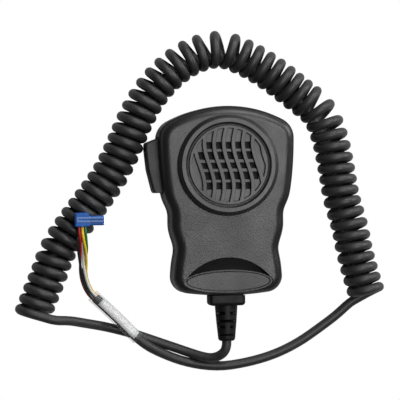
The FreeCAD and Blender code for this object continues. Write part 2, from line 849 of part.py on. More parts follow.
def diaphragm():
    """Thin diaphragm: a flat surround and a low dome."""
    outer = basket_radius - basket_wall - capsule_clearance
    rise = diaphragm_dome_rise
    flat = pipe(outer, diaphragm_dome_radius, diaphragm_height, diaphragm_height + diaphragm_thickness)
    sphere_radius = (diaphragm_dome_radius**2 + rise**2) / (2 * rise)
    centre = V(0, 0, diaphragm_height + rise - sphere_radius)
    dome = Part.makeSphere(sphere_radius + diaphragm_thickness, centre)
    dome = dome.cut(Part.makeSphere(sphere_radius, centre))
    keep = rod(diaphragm_dome_radius + diaphragm_thickness, diaphragm_height, tall)
    return flat.fuse(dome.common(keep))


def voice_coil():
    """Coil of fine wire under the diaphragm."""
    return pipe(coil_radius, coil_radius - coil_wall, diaphragm_height - coil_length, diaphragm_height)


def capsule_yoke():
    """Steel cup round the magnet."""
    solid = rod(yoke_radius, yoke_bottom, yoke_bottom + yoke_height)
    return solid.cut(rod(yoke_radius - yoke_wall, yoke_bottom + yoke_wall, tall))


def capsule_magnet():
    """Round magnet on the floor of the yoke."""
    bottom = yoke_bottom + yoke_wall
    return rod(magnet_radius, bottom, bottom + magnet_thickness)


def capsule_pole_plate():
    """Steel plate on the magnet, inside the coil."""
    bottom = yoke_bottom + yoke_wall + magnet_thickness
    return rod(pole_radius, bottom, bottom + pole_thickness)


def capsule_tags():
    """Two solder tags under the basket's floor."""
    tags = [box(side * tag_x - tag_half_width, side * tag_x + tag_half_width, tag_inner_y - tag_length,
                tag_inner_y, basket_bottom - tag_thickness, basket_bottom) for side in (-1, 1)]
    return Part.makeCompound(tags)


def capsule_bracket():
    """Ring with two ears that screws over the boot."""
    solid = rod(boot_radius, bracket_bottom, bracket_top)
    ear = box(-bracket_ear_half_width, bracket_ear_half_width, bracket_ear_bottom_y, bracket_ear_top_y,
              bracket_bottom, bracket_top)
    solid = solid.fuse(ear)
    for x, y in bracket_boss_sites():
        solid = solid.fuse(rod(bracket_ear_half_width, bracket_bottom, bracket_top, x, y))
    solid = solid.cut(rod(bracket_inner_radius, 0, tall))
    solid = solid.cut(box(-bracket_notch_half_width, bracket_notch_half_width, bracket_notch_y, 0, 0, tall))
    for x, y in bracket_boss_sites():
        solid = solid.cut(rod(small_shaft_radius + hole_clearance, 0, tall, x, y))
    return solid.removeSplitter()


# Screws

def screw(x, y, seat, length, shaft_radius, head_radius, head_height, up):
    """A pan screw with a crossed recess; up says which way its point goes."""
    head = Part.makeCylinder(head_radius, head_height, V(x, y, seat), V(0, 0, -up))
    outside = seat - up * head_height
    head_edges = [edge for edge in head.Edges if is_rim(edge, outside)]
    head = head.makeFillet(head_height * 0.35, head_edges)
    shaft = Part.makeCylinder(shaft_radius, length, V(x, y, seat), V(0, 0, up))
    tip_edges = [edge for edge in shaft.Edges if is_rim(edge, seat + up * length)]
    shaft = shaft.makeChamfer(shaft_radius * 0.4, tip_edges)
    solid = head.fuse(shaft)
    z0, z1 = sorted((outside - up, outside + up * drive_depth))
    for wide, high in ((drive_radius, drive_half_width), (drive_half_width, drive_radius)):
        solid = solid.cut(box(x - wide, x + wide, y - high, y + high, z0, z1))
    return solid


def is_rim(edge, z):
    """Whether an edge is a whole circle at this height."""
    return len(edge.Vertexes) == 1 and abs(edge.Vertexes[0].Point.z - z) < 1e-6


def case_screws():
    """Four screws from the back."""
    made = [screw(x, y, case_screw_seat, case_screw_length, case_shaft_radius, case_head_radius,
                  case_head_height, 1) for x, y in case_screw_sites()]
    return Part.makeCompound(made)


def board_screws():
    """Four screws that hold the circuit board."""
    made = [screw(side * board_screw_x, y, board_top, board_screw_length, small_shaft_radius,
                  small_head_radius, small_head_height, -1) for side in (-1, 1) for y in board_screw_ys]
    return Part.makeCompound(made)


def bracket_screws():
    """Two screws that hold the capsule bracket."""
    made = [screw(x, y, bracket_bottom, small_length, small_shaft_radius,
                  small_head_radius, small_head_height, 1) for x, y in bracket_boss_sites()]
    return Part.makeCompound(made)


def clamp_screws():
    """Two screws that hold the cord clamp."""
    seat = clamp_bar_low + clamp_bar_thickness
    made = [screw(side * clamp_screw_x, clamp_y, seat, small_length, small_shaft_radius,
                  small_head_radius, small_head_height, -1) for side in (-1, 1)]
    return Part.makeCompound(made)


def hang_insert():
    """Brass insert with its bore open at the back and grooves round it."""
    solid = rod(insert_radius, 0, insert_length)
    floor_radius = insert_radius - insert_groove_depth
    for z in (insert_length / 3, 2 * insert_length / 3):
        z0 = z - insert_groove_half_width
        z1 = z + insert_groove_half_width
        solid = solid.cut(pipe(insert_radius + 1, floor_radius, z0, z1))
    return solid.cut(rod(insert_bore_radius, -1, tall))


# Press-to-talk button, springs and switch

def ptt_button():
    """Side button with the flange that keeps it in the case."""
    upper = [(-shoulder_half_width - reach, button_top_y - below) for reach, below in button_upper]
    lower = [(-shoulder_half_width - reach, button_bottom_y + above) for reach, above in button_lower]
    inner_top = (button_inner_x - 1, button_top_y)
    inner_bottom = (button_inner_x - 1, button_bottom_y)
    block = plate([inner_top] + upper + lower + [inner_bottom], button_low, button_high)
    bare_x = -shoulder_half_width - button_edge_radius - button_clearance
    outer_edges = [edge for edge in block.Edges if edge.CenterOfMass.x < bare_x]
    block = block.makeFillet(button_edge_radius, outer_edges)
    top_y = button_top_y + flange_reach
    bottom_y = button_bottom_y - flange_reach
    corners = [
        (wall + flange_margin_top - flank_at(top_y), top_y), (button_inner_x, top_y),
        (button_inner_x, bottom_y), (wall + flange_margin_bottom - flank_at(bottom_y), bottom_y),
    ]
    flange = plate(corners, button_low - flange_reach, button_high + flange_reach)
    return block.fuse(flange).removeSplitter()


def helix_spring(y):
    """One coil spring along X, from the button's flange to its post."""
    left = button_inner_x + spring_gap + spring_wire / 2
    right = post_x - spring_gap - spring_wire / 2
    steps = 2 * spring_turns
    mean_radius = spring_radius - spring_wire / 2

    def place(phase):
        x = left + (right - left) * phase / (2 * math.pi * spring_turns)
        return V(x, y + mean_radius * math.cos(phase), spring_height + mean_radius * math.sin(phase))

    phases = [math.pi * k for k in range(steps + 1)]
    return sweep(biarc_chain(place, phases), spring_wire / 2)


def switch_body():
    """Body of the push switch on the board."""
    solid = box(switch_front_x, switch_front_x + switch_depth, switch_centre_y - switch_half_width,
                switch_centre_y + switch_half_width, board_top, switch_top)
    half = plunger_size / 2 + plunger_clearance
    slot = box(switch_front_x - 1, switch_front_x + plunger_depth + button_travel, switch_centre_y - half,
               switch_centre_y + half, spring_height - half, spring_height + half)
    return solid.cut(slot)


def switch_plunger():
    """Sliding plunger that the button pushes."""
    half = plunger_size / 2
    return box(button_inner_x + plunger_gap, switch_front_x + plunger_depth, switch_centre_y - half,
               switch_centre_y + half, spring_height - half, spring_height + half)


def switch_pins():
    """Pins of the switch, through the board."""
    half = pin_size / 2
    pins = []
    for x in (switch_front_x + pin_inset, switch_front_x + switch_depth - pin_inset):
        for k in (-1, 0, 1):
            y = switch_centre_y + k * pin_spread
            pins.append(box(x - half, x + half, y - half, y + half, board_top - pin_length, board_top))
    return Part.makeCompound(pins)


# Circuit board

def circuit_board():
    """The board with its screw holes and the tab under the switch."""
    solid = box(-board_half_width, board_half_width, board_bottom_y, board_top_y, board_bottom, board_top)
    tab = box(board_tab_x, -board_half_width + 1, switch_centre_y - board_tab_half_width,
              switch_centre_y + board_tab_half_width, board_bottom, board_top)
    solid = solid.fuse(tab)
    for side in (-1, 1):
        for y in board_screw_ys:
            solid = solid.cut(rod(small_shaft_radius + hole_clearance, 0, tall, side * board_screw_x, y))
    for pin in switch_pins().Solids:
        hole = pin.BoundBox
        c = screw_clearance
        solid = solid.cut(box(hole.XMin - c, hole.XMax + c, hole.YMin - c, hole.YMax + c, 0, tall))
    return solid.removeSplitter()


def wire_header():
    """Five-way header where the cord's wires end."""
    solid = box(-header_half_length, header_half_length, header_y, header_y + header_depth,
                board_top, board_top + header_height)
    for k in range(len(wire_names)):
        radius = inner_wire_diameter / 2 + screw_clearance
        mouth = V(header_pitch * (k - 2), header_y, cord_height)
        solid = solid.cut(Part.makeCylinder(radius, header_depth / 2, mouth, V(0, 1, 0)))
    return solid


def capsule_header():
    """Two-way header for the capsule's wires."""
    y0 = capsule_header_y - capsule_header_depth
    return box(-capsule_header_half_length, capsule_header_half_length, y0, capsule_header_y,
               board_top, board_top + capsule_header_height)


def amplifier_chip():
    """Small chip with its body and four feet a side."""
    body = box(chip_x - chip_half_length, chip_x + chip_half_length, chip_y - chip_half_width,
               chip_y + chip_half_width, board_top + chip_stand, board_top + chip_top)
    reach = chip_half_width + chip_foot_reach
    for k in range(chip_foot_count):
        x = chip_x + chip_foot_pitch * (k - (chip_foot_count - 1) / 2)
        feet = box(x - chip_foot_half_width, x + chip_foot_half_width, chip_y - reach, chip_y + reach,
                   board_top, board_top + chip_foot_height)
        body = body.fuse(feet)
    return body


def capacitor(x):
    """An upright can capacitor."""
    can = rod(capacitor_radius, board_top, board_top + capacitor_height, x, capacitor_y)
    groove = pipe(capacitor_radius + 1, capacitor_radius - capacitor_groove_depth,
                  board_top + capacitor_groove_low, board_top + capacitor_groove_high, x, capacitor_y)
    return can.cut(groove)


def resistors():
    """A row of chip resistors."""
    chips = []
    for k in range(resistor_count):
        x = resistor_x + resistor_pitch * k
        chips.append(box(x, x + resistor_length, resistor_y - resistor_half_width,
                         resistor_y + resistor_half_width, board_top, board_top + resistor_height))
    return Part.makeCompound(chips)


# Strain relief, clamp and the wires inside

def relief_notch(distance, ribs_all_round):
    """A pointed groove round the taper that leaves ribs standing: at its sides, or all round."""
    wide = 2 * relief_neck_radius
    y = relief_flange_end_y - distance
    opening = relief_notch_width / (relief_mid_radius - relief_core_radius)
    half_width = opening * (wide - relief_core_radius) / 2
    corners = [V(relief_core_radius, y, 0), V(wide, y - half_width, 0), V(wide, y + half_width, 0)]
    profile = Part.Face(Part.makePolygon(corners + corners[:1]))
    groove = profile.revolve(V(0, 0, 0), V(0, 1, 0), 360)
    groove.translate(V(0, 0, cord_height))
    side = relief_side_rib_half_width
    groove = groove.cut(box(-wide, wide, y - half_width, y + half_width,
                            cord_height - side, cord_height + side))
    if ribs_all_round:
        rib = relief_rib_half_width
        groove = groove.cut(box(-rib, rib, y - half_width, y + half_width,
                                cord_height - wide, cord_height + wide))
    return groove


def relief_taper():
    """The taper outside the flange, round the cord, with its tip rounded."""
    bend = relief_tip_round * (1 - math.sqrt(0.5))
    root = relief_flange_end_y + relief_flange_round
    outline = [V(0, relief_end_y, 0), V(0, root, 0), V(relief_neck_radius, root, 0),
               V(relief_neck_radius, relief_flange_end_y, 0), V(relief_mid_radius, relief_mid_y, 0),
               V(relief_tip_radius, relief_end_y + relief_tip_round, 0)]
    last = V(relief_tip_radius - relief_tip_round, relief_end_y, 0)
    tip = Part.Arc(outline[-1], V(relief_tip_radius - bend, relief_end_y + bend, 0), last).toShape()
    wire = Part.Wire(Part.makePolygon(outline).Edges + [tip, Part.LineSegment(last, outline[0]).toShape()])
    taper = Part.Face(wire).revolve(V(0, 0, 0), V(0, 1, 0), 360)
    taper.translate(V(0, 0, cord_height))
    for distance in relief_quarter_notches:
        taper = taper.cut(relief_notch(distance, True))
    for distance in relief_half_notches:
        taper = taper.cut(relief_notch(distance, False))
    return taper


def strain_relief():
    """Rubber boot: flange inside, neck in the wall, flange outside and a notched taper."""
    solid = box(-relief_flange_half_width, relief_flange_half_width,
                relief_flange_end_y, relief_flange_start_y,
                cord_height - relief_flange_half_height, cord_height + relief_flange_half_height)
    outer_edges = [edge for edge in solid.Edges if edge.CenterOfMass.y < relief_flange_start_y - 0.01]
    solid = solid.makeFillet(relief_flange_round, outer_edges)
    neck_top = relief_inner_y + relief_inner_thickness / 2
    neck_length = neck_top - relief_flange_start_y + relief_flange_thickness / 2
    neck = Part.makeCylinder(relief_wall_radius, neck_length, V(0, neck_top, cord_height), V(0, -1, 0))
    inner = box(-relief_inner_half_width, relief_inner_half_width, relief_inner_y,
                relief_inner_y + relief_inner_thickness,
                cord_height - relief_inner_half_height, cord_height + relief_inner_half_height)
    solid = solid.fuse(relief_taper()).fuse(neck).fuse(inner)
    return solid.cut(cord_bore(cord_radius + cord_clearance)).removeSplitter()


def cord_inner_end():
    """The cord inside the strain relief and under the clamp."""
    length = jacket_end_y - relief_end_y
    return Part.makeCylinder(cord_radius, length, V(0, jacket_end_y, cord_height), V(0, -1, 0))


def cord_clamp():
    """Clamp over the cord, on two screw posts."""
    y0 = clamp_y - clamp_half_length
    y1 = clamp_y + clamp_half_length
    solid = box(-clamp_half_width, clamp_half_width, y0, y1,
                clamp_bar_low, clamp_bar_low + clamp_bar_thickness)
    loop = Part.makeCylinder(clamp_loop_radius, y1 - y0, V(0, y1, cord_height), V(0, -1, 0))
    loop = loop.common(box(-clamp_loop_radius, clamp_loop_radius, y0, y1, clamp_bar_low, tall))
    solid = solid.fuse(loop).cut(cord_bore(cord_radius + cord_clearance))
    gap = saddle_half_width + hole_clearance
    solid = solid.cut(box(-gap, gap, y0 - 1, y1 + 1, 0, saddle_top + hole_clearance))
    for side in (-1, 1):
        solid = solid.cut(rod(small_shaft_radius + hole_clearance, 0, tall, side * clamp_screw_x, clamp_y))
    return solid.removeSplitter()


def inner_wire_points(k):
    """Route of one wire from the end of the jacket to the header."""
    angle = math.radians(90 + 360 * k / len(wire_names))
    aside = inner_wire_ring_radius * math.cos(angle)
    above = inner_wire_ring_radius * math.sin(angle)
    x = header_pitch * (header_order[k] - 2)
    end_y = header_y + header_depth / 2
    run = header_y - jacket_end_y
    return [
        (aside, jacket_end_y, cord_height + above), (aside, jacket_end_y + 0.25 * run, cord_height + above),
        (x, jacket_end_y + 0.6 * run, cord_height + 0.3 * above), (x, header_y - 0.15 * run, cord_height),
        (x, end_y, cord_height),
    ]


def inner_wire(k):
    """One wire from the end of the jacket to the header."""
    return tube(inner_wire_points(k), inner_wire_diameter, "inner wire %d" % k)


def capsule_wire(side):
    """One wire from a tag of the capsule down to their header."""
    end_x = capsule_header_half_length / 2
    end_z = board_top + 2.4
    points = [
        (tag_x, tag_y, basket_bottom - tag_thickness), (tag_x, tag_y, 14.1), (2.8, -12.6, 12.7),
        (3.3, -17.5, 12.1), (3.3, -22.0, 11.4), (2.2, -25.4, 10.3),
        (end_x, capsule_header_y + 1.6, end_z), (end_x, capsule_header_y, end_z),
    ]
    return tube([(side * x, y, z) for x, y, z in points], capsule_wire_diameter, "capsule wire")


# Curly cord

def quadratic_line(points, height):
    """Smooth line of the second degree that the points steer."""
    poles = [V(x, y, height) for x, y in points]
    spans = len(poles) - 2
    knots = list(range(spans + 1))
    mults = [3] + [1] * (spans - 1) + [3]
    line = Part.BSplineCurve()
    line.buildFromPolesMultsKnots(poles, mults, knots, False, 2)
    return line


def biarc(start, start_way, end, end_way):
    """Two tangent arcs between two points with given directions."""
    chord = end - start
    ways = start_way + end_way
    closing = 4 - ways.dot(ways)
    across = chord.dot(ways)
    if closing < 1e-9:
        reach = chord.dot(chord) / (4 * chord.dot(end_way))
    else:
        reach = (-across + math.sqrt(across**2 + closing * chord.dot(chord))) / closing
    first = start + start_way * reach
    second = end - end_way * reach
    joint = (first + second) * 0.5
    return [arc_by_apex(start, first, joint), arc_by_apex(joint, second, end)]


def arc_by_apex(start, apex, end):
    """The arc that is tangent to start-apex and apex-end."""
    middle = (start + end) * 0.5
    height = (apex - middle).Length
    half = (end - start).Length / 2
    rise = half * math.tan(math.atan2(height, half) / 2)
    return Part.Arc(start, middle + (apex - middle) * (rise / height), end).toShape()


def biarc_chain(place, phases):
    """Biarcs through a curve's places, with directions from small steps."""
    small = 1e-4
    edges = []
    ways = [(place(phase + small) - place(phase - small)).normalize() for phase in phases]
    for k in range(len(phases) - 1):
        edges += biarc(place(phases[k]), ways[k], place(phases[k + 1]), ways[k + 1])
    return edges


class Curl:
    """The helix of the curly cord round its line."""

    def __init__(self):
        self.line = quadratic_line(curl_points, coil_outer_radius)
        self.length = self.line.length()
        steps = 600
        self.ways = []
        self.spots = []
        for k in range(steps + 1):
            parameter = self.line.parameterAtDistance(self.length * k / steps, self.line.FirstParameter)
            self.spots.append(self.line.value(parameter))
            way = self.line.tangent(parameter)
            self.ways.append((way[0] if isinstance(way, tuple) else way).normalize())
        window = max(1, int(curl_window / (self.length / steps)))
        inner = [0.0]
        for k in range(steps):
            low = max(0, k - window)
            high = min(steps, k + window)
            bend = self.ways[low].getAngle(self.ways[high]) / (self.length / steps * (high - low))
            inner.append(inner[-1] + 1 - helix_radius * bend)
        self.inner = [value / inner[-1] for value in inner]
        self.start = -math.pi / 2
        self.end = self.start + 2 * math.pi * (curl_count + 0.5)

    def lean(self, share):
        """How far the turns lean back along the line, from none to a quarter of a turn's pitch each way."""
        low, high = curl_lean_fade
        fade = min(max((share - low) / (high - low), 0.0), 1.0)
        return curl_lean_start + (curl_lean_end - curl_lean_start) * fade * fade * (3 - 2 * fade)

    def place(self, phase):
        """A point of the wire's centre at this angle."""
        whole = self.end - self.start
        share = (phase - self.start) / whole
        share -= self.lean(share) * math.pi / 2 / whole * math.cos(phase)
        low, high = 0, len(self.inner) - 1
        while high - low > 1:
            middle = (low + high) // 2
            if self.inner[middle] <= share:
                low = middle
            else:
                high = middle
        part = (share - self.inner[low]) / (self.inner[high] - self.inner[low])
        centre = self.spots[low] + (self.spots[high] - self.spots[low]) * part
        way = (self.ways[low] + (self.ways[high] - self.ways[low]) * part).normalize()
        left = V(0, 0, 1).cross(way)
        up = V(0, 0, -1)
        return centre + left * (helix_radius * math.cos(phase)) + up * (helix_radius * math.sin(phase))

    def phases(self):
        """Half turns from the top at the start to the bottom at the end."""
        count = 2 * curl_count + 1
        return [self.start + math.pi * k for k in range(count + 1)]

    def ends(self):
        """The two end points and the ways out of them, one diameter away."""
        small = 1e-4
        first = self.place(self.start)
        last = self.place(self.end)
        out_first = (first - self.place(self.start + small)).normalize()
        out_last = (last - self.place(self.end - small)).normalize()
        out_first.z = 0
        out_last.z = 0
        return (first, out_first.normalize()), (last, out_last.normalize())

    def least_gap(self):
        """The narrowest space between neighbouring turns, measured on points."""
        per_turn = 36
        count = int((curl_count + 0.5) * per_turn)
        points = [self.place(self.start + 2 * math.pi * k / per_turn) for k in range(count + 1)]
        least = 1e9
        for k in range(count + 1):
            for other in range(k + per_turn // 2, min(count, k + per_turn + per_turn // 2) + 1):
                least = min(least, (points[k] - points[other]).Length)
        return least - cord_diameter


def curly_cord(curl):
    """One unbroken tube with all its turns and a straight end each side."""
    (first, out_first), (last, out_last) = curl.ends()
    phases = curl.phases()
    small = 1e-4
    ways = [(curl.place(phase + small) - curl.place(phase - small)).normalize() for phase in phases]
    ways[0] = out_first * -1
    ways[-1] = out_last
    edges = [Part.LineSegment(first + out_first * cord_diameter, first).toShape()]
    for k in range(len(phases) - 1):
        edges += biarc(curl.place(phases[k]), ways[k], curl.place(phases[k + 1]), ways[k + 1])
    edges.append(Part.LineSegment(last, last + out_last * cord_diameter).toShape())
    length = sum(edge.Length for edge in edges)
    solid = sweep(edges, cord_radius)
    print("curl length %.1f least gap %.2f volume ratio %.4f"
          % (length, curl.least_gap(), solid.Volume / (length * math.pi * cord_radius**2)))
    return solid


def lead_route(curl):
    """The first lead's points, to the start of the coil."""
    (first, out_first), _ = curl.ends()
    end = first + out_first * cord_diameter
    near = end + out_first * lead_run_in
    return lead_points + [tuple(near), tuple(end)]


def tail_route(curl):
    """The tail's points, from the end of the coil."""
    _, (last, out_last) = curl.ends()
    start = last + out_last * cord_diameter
    near = start + out_last * tail_run_out
    return [tuple(start), tuple(near)] + tail_points


def over_tail(curl, near, far, inner, outer):
    """A sleeve on the tail, between two distances from its end."""
    edges, _ = tangent_path(tail_route(curl))
    length = sum(edge.Length for edge in edges)
    kept = part_of_path(edges, length - near, length - max(far, 0.0))
    if far < 0:
        last = kept[-1]
        end = last.valueAt(last.LastParameter)
        kept.append(Part.LineSegment(end, end + last.tangentAt(last.LastParameter) * -far).toShape())
    return sweep(kept, outer).cut(sweep(kept, inner))


def tail_wire(curl, name):
    """One stripped wire, from the end of the jacket to the connector."""
    route = tail_route(curl)
    end = V(*route[-1])
    way = (end - V(*route[-2])).normalize()
    middle = [end, end + way * bundle_lead] + [V(*p) for p in bundle_points]
    middle.append(V(middle[-1].x, connector_y - connector_body_half_width, middle[-1].z))
    angle = math.radians(wire_angles[name])
    first = (wire_ring_radius * math.cos(angle), wire_ring_radius * math.sin(angle))
    places = [first] * 4 + wire_places[name] + wire_places[name][-1:]
    points = []
    for k, (spot, (aside, above)) in enumerate(zip(middle, places)):
        if k < 2:
            ahead = way
        elif k < len(middle) - 2:
            ahead = (middle[k + 1] - middle[k - 1]).normalize()
        else:
            ahead = V(0, 1, 0)
        across = ahead.cross(V(0, 0, 1)).normalize()
        points.append(tuple(spot + across * aside + across.cross(ahead) * above))
    return tube(points, wire_diameter, "wire " + name)


def connector_housing():
    """Two-step housing with a slot for the contact."""
    x1 = connector_left_x + connector_body_length
    x2 = x1 + connector_nose_length
    mid = connector_low + connector_height / 2
    body = box(connector_left_x, x1, connector_y - connector_body_half_width,
               connector_y + connector_body_half_width, connector_low, connector_low + connector_height)
    nose = box(x1 - connector_step_overlap, x2, connector_nose_y - connector_nose_half_width,
               connector_nose_y + connector_nose_half_width,
               mid - connector_nose_height / 2, mid + connector_nose_height / 2)
    body = body.makeFillet(connector_edge_radius, body.Edges)
    nose = nose.makeFillet(connector_edge_radius, nose.Edges)
    return body.fuse(nose).fuse(connector_ridge(x2)).cut(contact_block(contact_clearance))


def connector_ridge(end_x):
    """A raised line along the top of the housing, open at the nose's end."""
    x0 = connector_left_x + connector_ridge_start
    x1 = end_x - connector_edge_radius
    top = connector_low + connector_height
    outside = connector_ridge_half_width
    inside = outside - connector_ridge_wall
    ridge = box(x0, x1, connector_y - outside, connector_y + outside,
                top - connector_ridge_root, top + connector_ridge_height)
    return ridge.cut(box(x0 + connector_ridge_wall, x1 + 1, connector_y - inside, connector_y + inside,
                         top - connector_ridge_root - 1, top + 1))


def contact_block(grow):
    """The space that the contact takes in the housing."""
    x0 = connector_left_x + connector_body_length - contact_root
    x1 = connector_left_x + connector_body_length + connector_nose_length + contact_reach
    mid = connector_low + connector_height / 2
    half_width = contact_half_width + grow
    half_height = contact_height / 2 + grow
    return box(x0 - grow, x1, connector_nose_y - half_width, connector_nose_y + half_width,
               mid - half_height, mid + half_height)


def connector_contact():
    """Folded metal contact that shows at the connector's mouth."""
    solid = contact_block(0)
    bounds = solid.BoundBox
    slot = box(bounds.XMax - contact_mouth_depth, bounds.XMax + 1, bounds.YMin + contact_wall,
               bounds.YMax - contact_wall, bounds.ZMin + contact_wall, bounds.ZMax - contact_wall)
    return solid.cut(slot)


def build_all():
    """Make and write every node."""
    outer = case_solid(0.0)
    inner = case_solid(wall)
    save(front_shell(outer, inner), "front_shell")
    save(back_cover(outer, inner), "back_cover")
    save(grille_disc(), "grille_disc")
    save(dust_cloth(), "dust_cloth")
    save(badge_plate(), "badge_plate")
    save(capsule_boot(), "capsule_boot")
    save(capsule_basket(), "capsule_basket")
    save(capsule_cap(), "capsule_cap")
    save(diaphragm(), "diaphragm")
    save(voice_coil(), "voice_coil")
    save(capsule_yoke(), "capsule_yoke")
    save(capsule_magnet(), "capsule_magnet")
    save(capsule_pole_plate(), "capsule_pole_plate")
    save(capsule_tags(), "capsule_tags")
    save(capsule_bracket(), "capsule_bracket")
    save(bracket_screws(), "bracket_screws")
    save(case_screws(), "case_screws")
    save(hang_insert(), "hang_insert")
    save(ptt_button(), "ptt_button")
    save(helix_spring(switch_centre_y + spring_offset_y), "ptt_spring_upper")
    save(helix_spring(switch_centre_y - spring_offset_y), "ptt_spring_lower")
    save(switch_body(), "switch_body")
    save(switch_plunger(), "switch_plunger")
    save(switch_pins(), "switch_pins")
    save(circuit_board(), "circuit_board")
    save(board_screws(), "board_screws")
    save(wire_header(), "wire_header")
    save(capsule_header(), "capsule_header")
    save(amplifier_chip(), "amplifier_chip")
    for name, x in zip(("capacitor_left", "capacitor_right"), capacitor_xs):
        save(capacitor(x), name)
    save(resistors(), "resistors")
    save(strain_relief(), "strain_relief")
    save(cord_inner_end(), "cord_inner_end")
    save(cord_clamp(), "cord_clamp")
    save(clamp_screws(), "clamp_screws")
    for k, name in enumerate(wire_names):
        save(inner_wire(k), "inner_wire_" + name)
    save(capsule_wire(-1), "capsule_wire_left")
    save(capsule_wire(1), "capsule_wire_right")
    curl = Curl()
    save(curly_cord(curl), "curly_cord")
    save(tube(lead_route(curl), cord_diameter, "lead"), "cord_mic_lead")
    save(tube(tail_route(curl), cord_diameter, "tail"), "cord_tail_lead")
    save(over_tail(curl, label_start, label_end, label_inner_radius, label_outer_radius), "label_band")
    save(over_tail(curl, sleeve_start, sleeve_end, sleeve_inner_radius, sleeve_outer_radius), "clear_sleeve")
    for name in wire_names:
        save(tail_wire(curl, name), "tail_wire_" + name)
    save(connector_housing(), "connector_housing")
    save(connector_contact(), "connector_contact")


os.makedirs("parts", exist_ok=True)
build_all()
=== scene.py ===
import json
import math

import bpy
from mathutils import Matrix, Vector


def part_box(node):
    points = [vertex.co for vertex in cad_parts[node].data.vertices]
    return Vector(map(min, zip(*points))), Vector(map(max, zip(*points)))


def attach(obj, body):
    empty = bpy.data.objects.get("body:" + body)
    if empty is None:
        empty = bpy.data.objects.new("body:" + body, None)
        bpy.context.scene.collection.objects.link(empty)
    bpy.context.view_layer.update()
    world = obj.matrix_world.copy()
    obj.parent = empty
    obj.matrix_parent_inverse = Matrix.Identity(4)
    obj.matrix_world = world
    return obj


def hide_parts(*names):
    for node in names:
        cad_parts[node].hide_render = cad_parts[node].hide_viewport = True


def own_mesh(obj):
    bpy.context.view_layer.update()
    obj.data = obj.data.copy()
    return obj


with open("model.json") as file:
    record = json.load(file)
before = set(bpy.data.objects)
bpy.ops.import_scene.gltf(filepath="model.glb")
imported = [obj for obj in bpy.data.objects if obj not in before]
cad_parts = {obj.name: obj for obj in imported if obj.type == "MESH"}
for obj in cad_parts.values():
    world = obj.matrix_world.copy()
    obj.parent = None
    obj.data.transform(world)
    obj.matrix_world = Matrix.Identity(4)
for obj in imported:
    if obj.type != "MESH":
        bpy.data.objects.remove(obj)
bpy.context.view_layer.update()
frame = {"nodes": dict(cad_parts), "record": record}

# All lengths are in metres, in the frame of the solids: X to the right of the
# face, Y towards the top of the microphone, Z out of its face.

# Camera: it looks down from a little to the left, turned a little clockwise
IMAGE_SIDE = 400
METRES_PER_PIXEL = 0.0005
AIM = Vector((-0.01217, -0.01709, 0.010))
CAMERA_DISTANCE = 1.5
CAMERA_LEAN = math.radians(6.84)
CAMERA_ROLL = math.radians(-1.0)
SENSOR = 36.0

# Light
WORLD_LEVEL = 0.05
FLOOR_GLOW = 1.0
FLOOR_HALF = 3.0
LAMP_AIM = (0.0, -0.02, 0.0)

# Lamps: name, place, width, depth and power
LAMPS = [
    ("key", (0.40, 1.10, 0.85), 0.7, 0.7, 11.0),
    ("overhead", (0.42, 0.02, 1.9), 1.1, 1.0, 20.5),
    ("fill", (1.1, 0.45, 0.45), 0.6, 0.5, 8.0),
]

# Cord
CORD_DIAMETER = 0.0048
CORD_RADIUS = CORD_DIAMETER / 2
COIL_OUTER_RADIUS = 0.0095
CORD_STEPS = 4
CURL_COUNT = 54
CURL_POINTS_PER_TURN = 16
CURL_WINDOW = 0.003
CURL_LINE_STEPS = 24
SMALL_PHASE = 1e-3
LEAN_START = 1.0
LEAN_END = 0.4
LEAN_FADE = (0.30, 0.62)
CURL_POINTS = [
    (-0.0966, -0.0723), (-0.0935, -0.0643), (-0.0887, -0.0536), (-0.0840, -0.0404), (-0.0754, -0.0282),
    (-0.0661, -0.0163), (-0.0572, -0.0043), (-0.0503, 0.0091), (-0.0445, 0.0228), (-0.0372, 0.0358),
    (-0.0272, 0.0469), (-0.0155, 0.0551), (-0.0007, 0.0592), (0.0139, 0.0530), (0.0265, 0.0449),
    (0.0380, 0.0354), (0.0492, 0.0269), (0.0544, 0.0134), (0.0573, -0.0029), (0.0594, -0.0178),
    (0.0638, -0.0321), (0.0660, -0.0470), (0.0717, -0.0662),
]
RELIEF_END = (0.0, -0.0878, 0.0105)
LEAD_POINTS = [
    RELIEF_END, (0.0, -0.0914, 0.0105), (-0.0024, -0.0948, 0.0088), (-0.0069, -0.0966, 0.0068),
    (-0.0122, -0.0956, 0.0052), (-0.0188, -0.0933, 0.0032), (-0.0265, -0.0905, CORD_RADIUS),
    (-0.0351, -0.0874, CORD_RADIUS), (-0.0430, -0.0845, CORD_RADIUS), (-0.0512, -0.0820, CORD_RADIUS),
    (-0.0606, -0.0795, 0.0040), (-0.0701, -0.0776, 0.0088), (-0.0791, -0.0757, 0.0143),
]
LEAD_RUN_IN = 0.0064
TAIL_RUN_OUT = 0.0040
TAIL_POINTS = [
    (0.0570, -0.0765, CORD_RADIUS), (0.0485, -0.0825, CORD_RADIUS), (0.0378, -0.0897, CORD_RADIUS),
    (0.0252, -0.0956, CORD_RADIUS), (0.0112, -0.0993, CORD_RADIUS), (-0.0037, -0.1012, CORD_RADIUS),
    (-0.0188, -0.0988, CORD_RADIUS), (-0.0316, -0.0939, 0.0044), (-0.0425, -0.0880, 0.0086),
    (-0.0537, -0.0761, 0.0088), (-0.0604, -0.0696, 0.0070), (-0.0651, -0.0651, 0.0060),
]

# Label and clear sleeve, as distances back from the end of the jacket
LABEL_SPAN = (0.0276, 0.0034)
LABEL_RADIUS = CORD_RADIUS + 0.00018
LABEL_ARC = (-35.0, 128.0)
LABEL_WALL = 0.00015
SLEEVE_SPAN = (0.0292, 0.0)
SLEEVE_PAST_END = 0.002
SLEEVE_RADIUS = CORD_RADIUS + 0.0006
SLEEVE_WALL = 0.0002
WHOLE_TURN = (0.0, 360.0)

